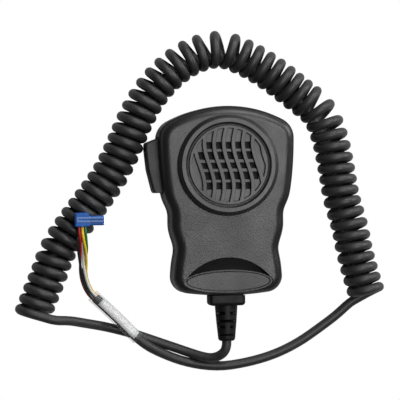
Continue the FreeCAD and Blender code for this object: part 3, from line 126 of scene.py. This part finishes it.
# Stripped wires
WIRE_DIAMETER = 0.0014
WIRE_STEPS = 12
WIRE_SIDES = 3
WIRE_RING_RADIUS = 0.0015
BUNDLE_LEAD = 0.0028
BUNDLE_POINTS = [
    (-0.0695, -0.0594, 0.0072), (-0.0714, -0.0534, 0.0102), (-0.0717, -0.0470, 0.0144),
    (-0.0719, -0.0410, 0.0184), (-0.0724, -0.0359, 0.0210), (-0.0725, -0.0319, 0.0219),
]
WIRE_ANGLES = {"red": 198, "yellow": 342, "green": 270, "black": 126, "white": 54}
WIRE_PLACES = {
    "red": [(-0.0013, -0.0009), (-0.0010, -0.0008), (-0.0009, 0.0005), (-0.00145, 0.00085)],
    "yellow": [(0.00175, -0.0002), (0.0013, 0.0010), (0.0007, 0.0011), (0.0001, 0.00085)],
    "green": [(0.0012, -0.0016), (0.0021, -0.0006), (0.0020, 0.0002), (0.00165, 0.00085)],
    "black": [(-0.0015, 0.0009), (-0.0024, 0.0004), (-0.0024, -0.0004), (-0.0012, -0.00085)],
    "white": [(-0.00005, 0.0004), (0.0005, -0.0011), (0.0006, -0.0009), (0.0008, -0.00085)],
}

# Rounding of moulded edges, as the light shows it
EDGE_SOFTNESS = 0.00045
# Width and colour of the highlight painted along the connector vinyl's sharp edges
VINYL_HIGHLIGHT_WIDTH = 0.0004
VINYL_EDGE_HIGHLIGHT = (0.45, 0.60, 0.85)

# Colours, in linear light
CASE_BLACK = (0.012, 0.012, 0.0125)
CORD_BLACK = (0.022, 0.022, 0.0225)
WIRE_COLOURS = {
    "red": (0.42, 0.012, 0.012),
    "yellow": (0.80, 0.52, 0.02),
    "green": (0.02, 0.17, 0.04),
    "black": (0.014, 0.014, 0.015),
    "white": (0.72, 0.72, 0.70),
}


# Materials

class Look:
    """A material with its main shader, and short ways to add nodes."""

    def __init__(self, name, colour, roughness, metallic=0.0):
        self.material = bpy.data.materials.new(name)
        self.material.use_nodes = True
        self.tree = self.material.node_tree
        self.shader = self.tree.nodes["Principled BSDF"]
        self.shader.inputs["Base Color"].default_value = (*colour, 1.0)
        self.shader.inputs["Roughness"].default_value = roughness
        self.shader.inputs["Metallic"].default_value = metallic
        self.material.diffuse_color = (*colour, 1.0)
        self.colour = colour

    def add(self, kind, **values):
        """A new node with its settings."""
        node = self.tree.nodes.new(kind)
        for key, value in values.items():
            if key in node.inputs:
                node.inputs[key].default_value = value
            else:
                setattr(node, key, value)
        return node

    def link(self, source, target):
        """Joins an output to an input."""
        self.tree.links.new(source, target)

    def place(self):
        """The point in the object's own space."""
        return self.add("ShaderNodeTexCoord").outputs["Object"]

    def noise(self, scale, detail=3.0, roughness=0.55):
        """Noise over the object's own space."""
        node = self.add("ShaderNodeTexNoise", Scale=scale, Detail=detail, Roughness=roughness)
        self.link(self.place(), node.inputs["Vector"])
        return node.outputs["Fac"]

    def spread(self, value, low, high, start=0.3, stop=0.7):
        """Maps a value's middle range to two limits."""
        node = self.add("ShaderNodeMapRange")
        node.inputs["From Min"].default_value = start
        node.inputs["From Max"].default_value = stop
        node.inputs["To Min"].default_value = low
        node.inputs["To Max"].default_value = high
        self.link(value, node.inputs["Value"])
        return node.outputs["Result"]

    def vary_colour(self, value, low, high):
        """Darker and lighter versions of the colour, chosen by a value."""
        node = self.add("ShaderNodeMix", data_type="RGBA")
        colours = [socket for socket in node.inputs if socket.type == "RGBA"]
        colours[0].default_value = (*(c * low for c in self.colour), 1.0)
        colours[1].default_value = (*(c * high for c in self.colour), 1.0)
        self.link(value, node.inputs["Factor"])
        result = [socket for socket in node.outputs if socket.type == "RGBA"][0]
        self.link(result, self.shader.inputs["Base Color"])

    def painted_edge_highlights(self, width, colour):
        """Paints a pale highlight colour where the surface bends sharply."""
        rounded = self.add("ShaderNodeBevel", samples=8, Radius=width)
        flat = self.add("ShaderNodeNewGeometry")
        match = self.add("ShaderNodeVectorMath", operation="DOT_PRODUCT")
        self.link(rounded.outputs["Normal"], match.inputs[0])
        self.link(flat.outputs["True Normal"], match.inputs[1])
        share = self.spread(match.outputs["Value"], 1.0, 0.0, 0.75, 0.98)
        inner = self.shader.inputs["Base Color"].links[0].from_socket
        node = self.add("ShaderNodeMix", data_type="RGBA")
        colours = [socket for socket in node.inputs if socket.type == "RGBA"]
        self.link(inner, colours[0])
        colours[1].default_value = (*colour, 1.0)
        self.link(share, node.inputs["Factor"])
        result = [socket for socket in node.outputs if socket.type == "RGBA"][0]
        self.link(result, self.shader.inputs["Base Color"])

    def vary_roughness(self, value, low, high):
        """Roughness between two limits."""
        self.link(self.spread(value, low, high), self.shader.inputs["Roughness"])

    def bump(self, height, distance, strength=1.0, below=None):
        """Fine relief from a height."""
        node = self.add("ShaderNodeBump", Distance=distance, Strength=strength)
        self.link(height, node.inputs["Height"])
        if below is not None:
            self.link(below, node.inputs["Normal"])
        self.link(node.outputs["Normal"], self.shader.inputs["Normal"])
        return node.outputs["Normal"]


def grained_plastic(name, colour, roughness=0.5, grain=0.00009):
    """Moulded black plastic with a fine spark-eroded grain and softened edges."""
    look = Look(name, colour, roughness)
    look.shader.inputs["Specular IOR Level"].default_value = 0.5
    broad = look.noise(60.0, 4.0)
    fine = look.noise(1200.0, 3.0, 0.65)
    edges = look.add("ShaderNodeBevel", samples=6, Radius=EDGE_SOFTNESS)
    look.vary_colour(look.spread(fine, 0.0, 1.0, 0.35, 0.65), 0.8, 1.25)
    look.vary_roughness(broad, roughness - 0.05, roughness + 0.06)
    look.bump(fine, grain, below=edges.outputs["Normal"])
    return look.material


def smooth_plastic(name, colour, roughness=0.35):
    """Plain moulded plastic with a little unevenness."""
    look = Look(name, colour, roughness)
    broad = look.noise(140.0, 3.0)
    look.vary_colour(look.spread(broad, 0.0, 1.0), 0.92, 1.06)
    look.vary_roughness(broad, roughness - 0.04, roughness + 0.05)
    look.bump(look.noise(900.0), 0.00001)
    return look.material


def rubber(name, colour, roughness=0.55):
    """Matt rubber with a faint bloom."""
    look = Look(name, colour, roughness)
    look.shader.inputs["Specular IOR Level"].default_value = 0.2
    broad = look.noise(220.0, 4.0)
    look.vary_colour(look.spread(broad, 0.0, 1.0), 0.85, 1.2)
    look.vary_roughness(broad, roughness - 0.06, roughness + 0.08)
    look.bump(look.noise(2400.0), 0.00002)
    return look.material


def cord_jacket(name):
    """Satin cord jacket with faint scuffs."""
    look = Look(name, CORD_BLACK, 0.48)
    look.shader.inputs["Specular IOR Level"].default_value = 0.45
    broad = look.noise(180.0, 4.0)
    look.vary_colour(look.spread(broad, 0.0, 1.0), 0.85, 1.25)
    look.vary_roughness(broad, 0.42, 0.54)
    look.bump(look.noise(1500.0), 0.00002)
    return look.material


def metal(name, colour, roughness=0.3):
    """Plated or turned metal with fine marks."""
    look = Look(name, colour, roughness, 1.0)
    fine = look.noise(1200.0, 4.0)
    look.vary_colour(look.spread(fine, 0.0, 1.0), 0.85, 1.05)
    look.vary_roughness(fine, roughness - 0.08, roughness + 0.12)
    look.bump(fine, 0.00001)
    return look.material


def cloth(name):
    """Fine black woven cloth."""
    look = Look(name, (0.012, 0.012, 0.012), 0.9)
    checks = look.add("ShaderNodeTexChecker", Scale=2400.0)
    look.link(look.place(), checks.inputs["Vector"])
    look.shader.inputs["Sheen Weight"].default_value = 0.15
    look.bump(checks.outputs["Fac"], 0.00003)
    return look.material


def clear_film(name):
    """Thin clear shrink tubing."""
    look = Look(name, (0.45, 0.46, 0.47), 0.12)
    look.shader.inputs["IOR"].default_value = 1.45
    look.shader.inputs["Specular IOR Level"].default_value = 1.0
    facing = look.add("ShaderNodeLayerWeight", Blend=0.35)
    look.link(look.spread(facing.outputs["Facing"], 0.04, 0.42, 0.3, 0.95), look.shader.inputs["Alpha"])
    look.bump(look.noise(300.0), 0.00002)
    return look.material


def label_film(name):
    """Blank pale label."""
    look = Look(name, (0.74, 0.74, 0.75), 0.5)
    look.vary_colour(look.spread(look.noise(700.0, 5.0), 0.0, 1.0), 0.85, 1.10)
    look.bump(look.noise(1400.0), 0.00002)
    return look.material


def insulation(name, colour):
    """Soft wire insulation."""
    look = Look(name, colour, 0.38)
    look.vary_colour(look.spread(look.noise(500.0), 0.0, 1.0), 0.85, 1.08)
    look.bump(look.noise(1600.0), 0.00002)
    return look.material


def connector_vinyl(name):
    """Blue vinyl of a push-on connector, with a painted pale highlight along its thin edges."""
    look = Look(name, (0.010, 0.085, 0.34), 0.45)
    look.shader.inputs["Specular IOR Level"].default_value = 0.2
    mottle = look.spread(look.noise(420.0, 4.0), 0.0, 1.0)
    look.vary_colour(mottle, 0.75, 1.25)
    # Painted highlight: a pale colour laid along the vinyl's sharp edges
    look.painted_edge_highlights(VINYL_HIGHLIGHT_WIDTH, VINYL_EDGE_HIGHLIGHT)
    look.bump(look.noise(1300.0), 0.00003)
    return look.material


def board_look(name):
    """Green solder mask."""
    look = Look(name, (0.01, 0.10, 0.03), 0.3)
    look.vary_colour(look.spread(look.noise(300.0, 2.0), 0.0, 1.0), 0.8, 1.2)
    look.bump(look.noise(900.0), 0.00001)
    return look.material


def make_looks():
    """One material for each slot of the record."""
    looks = {
        "case_abs": grained_plastic("case_abs", CASE_BLACK, 0.34),
        "cover_abs": grained_plastic("cover_abs", CASE_BLACK, 0.36),
        "grille_abs": grained_plastic("grille_abs", CASE_BLACK, 0.36, 0.00006),
        "badge_abs": grained_plastic("badge_abs", CASE_BLACK, 0.34, 0.00005),
        "button_abs": grained_plastic("button_abs", CASE_BLACK, 0.50),
        "relief_rubber": rubber("relief_rubber", (0.006, 0.006, 0.0063), 0.5),
        "cord_jacket": cord_jacket("cord_jacket"),
        "label_film": label_film("label_film"),
        "clear_film": clear_film("clear_film"),
        "connector_blue": connector_vinyl("connector_blue"),
        "contact_tin": metal("contact_tin", (0.55, 0.55, 0.56), 0.28),
        "screw_steel": metal("screw_steel", (0.55, 0.55, 0.56), 0.32),
        "insert_brass": metal("insert_brass", (0.78, 0.55, 0.22), 0.28),
        "spring_steel": metal("spring_steel", (0.62, 0.61, 0.60), 0.25),
        "cloth_black": cloth("cloth_black"),
        "boot_rubber": rubber("boot_rubber", (0.03, 0.03, 0.03), 0.6),
        "capsule_plastic": smooth_plastic("capsule_plastic", (0.05, 0.05, 0.05)),
        "film_clear": smooth_plastic("film_clear", (0.62, 0.58, 0.42), 0.25),
        "copper_wire": metal("copper_wire", (0.75, 0.35, 0.15), 0.3),
        "yoke_steel": metal("yoke_steel", (0.5, 0.5, 0.5), 0.35),
        "magnet_grey": rubber("magnet_grey", (0.08, 0.08, 0.08), 0.5),
        "board_green": board_look("board_green"),
        "header_white": smooth_plastic("header_white", (0.70, 0.68, 0.60)),
        "chip_black": smooth_plastic("chip_black", (0.02, 0.02, 0.02)),
        "can_aluminium": metal("can_aluminium", (0.75, 0.75, 0.76), 0.25),
        "switch_plastic": smooth_plastic("switch_plastic", (0.03, 0.03, 0.035)),
        "plunger_plastic": smooth_plastic("plunger_plastic", (0.5, 0.06, 0.04)),
        "tag_metal": metal("tag_metal", (0.75, 0.68, 0.48), 0.3),
    }
    for colour_name, colour in WIRE_COLOURS.items():
        slot = "wire_" + colour_name
        looks[slot] = insulation(slot, colour)
    return looks


def dress_nodes(looks):
    """Gives every node that stays its material."""
    for part in frame["record"]["subparts"]:
        node = frame["nodes"][part["node"]]
        for place in node.material_slots:
            place.material = looks[part["material_slot"]]


# Curves and tubes

def smooth_curve(name, points, radius, steps, sides=5):
    """A round cord along one smooth spline that the points steer."""
    data = bpy.data.curves.new(name, "CURVE")
    data.dimensions = "3D"
    data.resolution_u = steps
    data.bevel_depth = radius
    data.bevel_resolution = sides
    data.use_fill_caps = True
    spline = data.splines.new("NURBS")
    spline.points.add(len(points) - 1)
    for target, point in zip(spline.points, points):
        target.co = (*point, 1.0)
    spline.order_u = 3
    spline.use_endpoint_u = True
    piece = bpy.data.objects.new(name, data)
    bpy.context.scene.collection.objects.link(piece)
    return piece


def centre_points(points, steps):
    """Points along the smooth spline that these points steer."""
    probe = smooth_curve("probe", points, 0.0, steps)
    probe.data.use_fill_caps = False
    bpy.context.view_layer.update()
    graph = bpy.context.evaluated_depsgraph_get()
    mesh = bpy.data.meshes.new_from_object(probe.evaluated_get(graph))
    line = [vertex.co.copy() for vertex in mesh.vertices]
    bpy.data.meshes.remove(mesh)
    bpy.data.objects.remove(probe)
    return line


def line_length(line):
    """Length of a line of points."""
    return sum((b - a).length for a, b in zip(line, line[1:]))


def cut_line(line, start, stop):
    """The stretch of a line between two distances from its end, far one first."""
    kept = []
    left = line_length(line)
    for a, b in zip(line, line[1:]):
        run = (b - a).length
        for edge in (start, stop):
            if left >= edge > left - run:
                kept.append(a.lerp(b, (left - edge) / run))
        if start > left - run > stop:
            kept.append(b.copy())
        left -= run
    return kept


class Curl:
    """The turns of the curly cord round their line."""

    def __init__(self):
        flat = [(x, y, COIL_OUTER_RADIUS) for x, y in CURL_POINTS]
        self.spots = centre_points(flat, CURL_LINE_STEPS)
        self.runs = [0.0]
        for a, b in zip(self.spots, self.spots[1:]):
            self.runs.append(self.runs[-1] + (b - a).length)
        last = len(self.spots) - 1
        self.ways = []
        for k in range(last + 1):
            low = max(k - 1, 0)
            high = min(k + 1, last)
            self.ways.append((self.spots[high] - self.spots[low]).normalized())
        self.radius = COIL_OUTER_RADIUS - CORD_RADIUS
        window = max(1, round(CURL_WINDOW / (self.runs[-1] / last)))
        self.inner = [0.0]
        for k in range(last):
            low = max(0, k - window)
            high = min(last, k + window)
            bend = self.ways[low].angle(self.ways[high]) / (self.runs[high] - self.runs[low])
            step = self.runs[k + 1] - self.runs[k]
            self.inner.append(self.inner[-1] + step * (1 - self.radius * bend))
        self.inner = [value / self.inner[-1] for value in self.inner]
        self.start = -math.pi / 2
        self.end = self.start + 2 * math.pi * (CURL_COUNT + 0.5)

    def lean(self, share):
        """How far the turns lean back along the line."""
        low, high = LEAN_FADE
        fade = min(max((share - low) / (high - low), 0.0), 1.0)
        return LEAN_START + (LEAN_END - LEAN_START) * fade * fade * (3 - 2 * fade)

    def place(self, phase, radius):
        """A point at this angle and this distance from the line."""
        whole = self.end - self.start
        share = (phase - self.start) / whole
        share -= self.lean(share) * math.pi / 2 / whole * math.cos(phase)
        low, high = 0, len(self.inner) - 1
        while high - low > 1:
            middle = (low + high) // 2
            if self.inner[middle] <= share:
                low = middle
            else:
                high = middle
        part = (share - self.inner[low]) / (self.inner[high] - self.inner[low])
        centre = self.spots[low] + (self.spots[high] - self.spots[low]) * part
        way = (self.ways[low] + (self.ways[high] - self.ways[low]) * part).normalized()
        left = Vector((0, 0, 1)).cross(way)
        return centre + left * (radius * math.cos(phase)) - Vector((0, 0, radius * math.sin(phase)))

    def points(self):
        """Points that steer the cord round its turns."""
        inside = math.cos(math.pi / CURL_POINTS_PER_TURN)
        count = round((CURL_COUNT + 0.5) * CURL_POINTS_PER_TURN)
        step = (self.end - self.start) / count
        turns = [self.place(self.start + k * step, self.radius / inside) for k in range(1, count)]
        return [self.place(self.start, self.radius)] + turns + [self.place(self.end, self.radius)]

    def way_out(self, phase, other):
        """The level direction in which the cord leaves an end of the coil."""
        way = self.place(phase, self.radius) - self.place(other, self.radius)
        way.z = 0.0
        return way.normalized()


def cord_points(curl):
    """The whole cord's points, from the strain relief to the stripped end."""
    out_first = curl.way_out(curl.start, curl.start + SMALL_PHASE)
    out_last = curl.way_out(curl.end, curl.end - SMALL_PHASE)
    first = curl.place(curl.start, curl.radius)
    last = curl.place(curl.end, curl.radius)
    end_first = first + out_first * CORD_DIAMETER
    end_last = last + out_last * CORD_DIAMETER
    lead = [Vector(p) for p in LEAD_POINTS] + [end_first + out_first * LEAD_RUN_IN, end_first]
    tail = [end_last, end_last + out_last * TAIL_RUN_OUT] + [Vector(p) for p in TAIL_POINTS]
    return lead + curl.points() + tail


def make_cord(looks):
    """The one cord, and its centre line."""
    points = cord_points(Curl())
    piece = smooth_curve("cord", points, CORD_RADIUS, CORD_STEPS)
    piece.data.materials.append(looks["cord_jacket"])
    line = centre_points(points, CORD_STEPS)
    return piece, line


def level_frame(way):
    """Directions across and up from a line's direction."""
    across = way.cross(Vector((0, 0, 1))).normalized()
    return across, across.cross(way)


def shell_mesh(name, line, arc, radius, thickness, around=32):
    """A thin curved sheet on a line, between two angles round it."""
    vertices = []
    faces = []
    start, stop = (math.radians(a) for a in arc)
    whole = abs(stop - start) > 2 * math.pi - 1e-6
    columns = around if whole else around + 1
    for k, spot in enumerate(line):
        way = (line[min(k + 1, len(line) - 1)] - line[max(k - 1, 0)]).normalized()
        across, up = level_frame(way)
        for depth in (radius, radius + thickness):
            for j in range(columns):
                angle = start + (stop - start) * j / around
                vertices.append(spot + across * (depth * math.cos(angle)) + up * (depth * math.sin(angle)))
    row = 2 * columns
    last = len(line) - 1
    for k in range(last):
        for j in range(around):
            n = (j + 1) % columns
            a, b = k * row, (k + 1) * row
            faces.append((a + j, a + n, b + n, b + j))
            a, b = a + columns, b + columns
            faces.append((a + n, a + j, b + j, b + n))
    for j in range(around):
        n = (j + 1) % columns
        faces.append((columns + j, columns + n, n, j))
        end = last * row
        faces.append((end + j, end + n, end + columns + n, end + columns + j))
    if not whole:
        for k in range(last):
            a, b = k * row, (k + 1) * row
            faces.append((a + columns, a, b, b + columns))
            edge = columns - 1
            faces.append((a + edge, a + columns + edge, b + columns + edge, b + edge))
    mesh = bpy.data.meshes.new(name)
    mesh.from_pydata([tuple(v) for v in vertices], [], faces)
    mesh.validate()
    mesh.shade_smooth()
    piece = bpy.data.objects.new(name, mesh)
    bpy.context.scene.collection.objects.link(piece)
    return piece


def make_label(line, looks):
    """The blank label, wrapped part of the way round the cord."""
    stretch = cut_line(line, *LABEL_SPAN)
    piece = shell_mesh("label", stretch, LABEL_ARC, LABEL_RADIUS, LABEL_WALL)
    piece.data.materials.append(looks["label_film"])
    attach(piece, "microphone")
    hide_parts("label_band")
    return piece


def make_sleeve(line, looks):
    """The clear sleeve over the label, with its open end past the jacket."""
    stretch = cut_line(line, *SLEEVE_SPAN)
    way = (stretch[-1] - stretch[-2]).normalized()
    stretch.append(stretch[-1] + way * SLEEVE_PAST_END)
    piece = shell_mesh("sleeve", stretch, WHOLE_TURN, SLEEVE_RADIUS, SLEEVE_WALL)
    piece.data.materials.append(looks["clear_film"])
    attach(piece, "microphone")
    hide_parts("clear_sleeve")
    return piece


def wire_points(line, name):
    """Points of one stripped wire, from the jacket's end to the connector."""
    end = line[-1]
    way = (line[-1] - line[-3]).normalized()
    low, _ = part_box("connector_housing")
    middle = [end, end + way * BUNDLE_LEAD] + [Vector(p) for p in BUNDLE_POINTS]
    middle.append(Vector((middle[-1].x, low[1], middle[-1].z)))
    angle = math.radians(WIRE_ANGLES[name])
    first = (WIRE_RING_RADIUS * math.cos(angle), WIRE_RING_RADIUS * math.sin(angle))
    places = [first] * 4 + WIRE_PLACES[name] + WIRE_PLACES[name][-1:]
    points = []
    for k, (spot, (aside, above)) in enumerate(zip(middle, places)):
        if k < 2:
            ahead = way
        elif k < len(middle) - 2:
            ahead = (middle[k + 1] - middle[k - 1]).normalized()
        else:
            ahead = Vector((0, 1, 0))
        across, up = level_frame(ahead)
        points.append(spot + across * aside + up * above)
    return points


def make_wires(line, looks):
    """The five stripped wires, each a cord of its own."""
    for name in WIRE_COLOURS:
        points = wire_points(line, name)
        piece = smooth_curve("wire_" + name, points, WIRE_DIAMETER / 2, WIRE_STEPS, WIRE_SIDES)
        piece.data.materials.append(looks["wire_" + name])
        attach(piece, "microphone")
        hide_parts("tail_wire_" + name)
        length = line_length(centre_points(points, WIRE_STEPS))


def make_springs(looks):
    """The button's return springs, each a copy of its part in spring steel."""
    press = frame["record"]["behaviour"]["joints"][0]
    for row in press["deforming_nodes"]:
        node = frame["nodes"][row["node"]]
        piece = bpy.data.objects.new("return_" + row["node"], node.data.copy())
        bpy.context.scene.collection.objects.link(piece)
        piece.data.materials.clear()
        piece.data.materials.append(looks["spring_steel"])
        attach(piece, "microphone")
        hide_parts(row["node"])
        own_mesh(piece)


# Camera, light and floor

def make_camera():
    """A long lens, leaning a little, that frames the photograph's square."""
    width = IMAGE_SIDE * METRES_PER_PIXEL
    data = bpy.data.cameras.new("camera")
    data.sensor_width = SENSOR
    data.sensor_height = SENSOR
    data.lens = SENSOR * CAMERA_DISTANCE / width
    data.clip_start = 0.05
    data.clip_end = 20.0
    camera = bpy.data.objects.new("camera", data)
    turn = Matrix.Rotation(CAMERA_ROLL, 3, "Z") @ Matrix.Rotation(-CAMERA_LEAN, 3, "Y")
    camera.location = AIM + turn @ Vector((0.0, 0.0, CAMERA_DISTANCE))
    camera.rotation_euler = turn.to_euler()
    bpy.context.scene.collection.objects.link(camera)
    bpy.context.scene.camera = camera


def add_softbox(name, place, aim, width, depth, power):
    """A soft lamp that faces a point."""
    data = bpy.data.lights.new(name, "AREA")
    data.shape = "RECTANGLE"
    data.size = width
    data.size_y = depth
    data.energy = power
    lamp = bpy.data.objects.new(name, data)
    lamp.location = place
    way = Vector(aim) - Vector(place)
    lamp.rotation_euler = way.to_track_quat("-Z", "Y").to_euler()
    bpy.context.scene.collection.objects.link(lamp)


def make_light():
    """A dim surround, a large lamp over the face, a key from the top and a low fill from the right."""
    world = bpy.data.worlds.new("world")
    world.use_nodes = True
    world.node_tree.nodes["Background"].inputs["Color"].default_value = (1.0, 1.0, 1.0, 1.0)
    world.node_tree.nodes["Background"].inputs["Strength"].default_value = WORLD_LEVEL
    bpy.context.scene.world = world
    for name, place, width, depth, power in LAMPS:
        add_softbox(name, place, LAMP_AIM, width, depth, power)


def make_floor():
    """A white floor that shows as white and keeps a faint shadow."""
    look = Look("floor", (0.6, 0.6, 0.6), 0.9)
    rays = look.add("ShaderNodeLightPath")
    share = look.add("ShaderNodeMath", operation="MULTIPLY")
    look.link(rays.outputs["Is Camera Ray"], share.inputs[0])
    share.inputs[1].default_value = FLOOR_GLOW
    glow = look.add("ShaderNodeEmission", Color=(1.0, 1.0, 1.0, 1.0), Strength=1.0)
    mix = look.add("ShaderNodeMixShader")
    look.link(share.outputs[0], mix.inputs[0])
    look.link(look.shader.outputs[0], mix.inputs[1])
    look.link(glow.outputs[0], mix.inputs[2])
    look.link(mix.outputs[0], look.tree.nodes["Material Output"].inputs["Surface"])
    mesh = bpy.data.meshes.new("floor")
    half = FLOOR_HALF
    corners = [(-half, -half, 0.0), (half, -half, 0.0), (half, half, 0.0), (-half, half, 0.0)]
    mesh.from_pydata(corners, [], [(0, 1, 2, 3)])
    mesh.materials.append(look.material)
    floor = bpy.data.objects.new("floor", mesh)
    bpy.context.scene.collection.objects.link(floor)


def main():
    """Builds the scene."""
    looks = make_looks()
    dress_nodes(looks)
    cord, line = make_cord(looks)
    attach(cord, "microphone")
    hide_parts("curly_cord", "cord_mic_lead", "cord_tail_lead")
    label = make_label(line, looks)
    sleeve = make_sleeve(line, looks)
    make_wires(line, looks)
    make_springs(looks)
    make_camera()
    make_light()
    make_floor()
    bpy.context.scene.view_settings.view_transform = "Standard"


main()
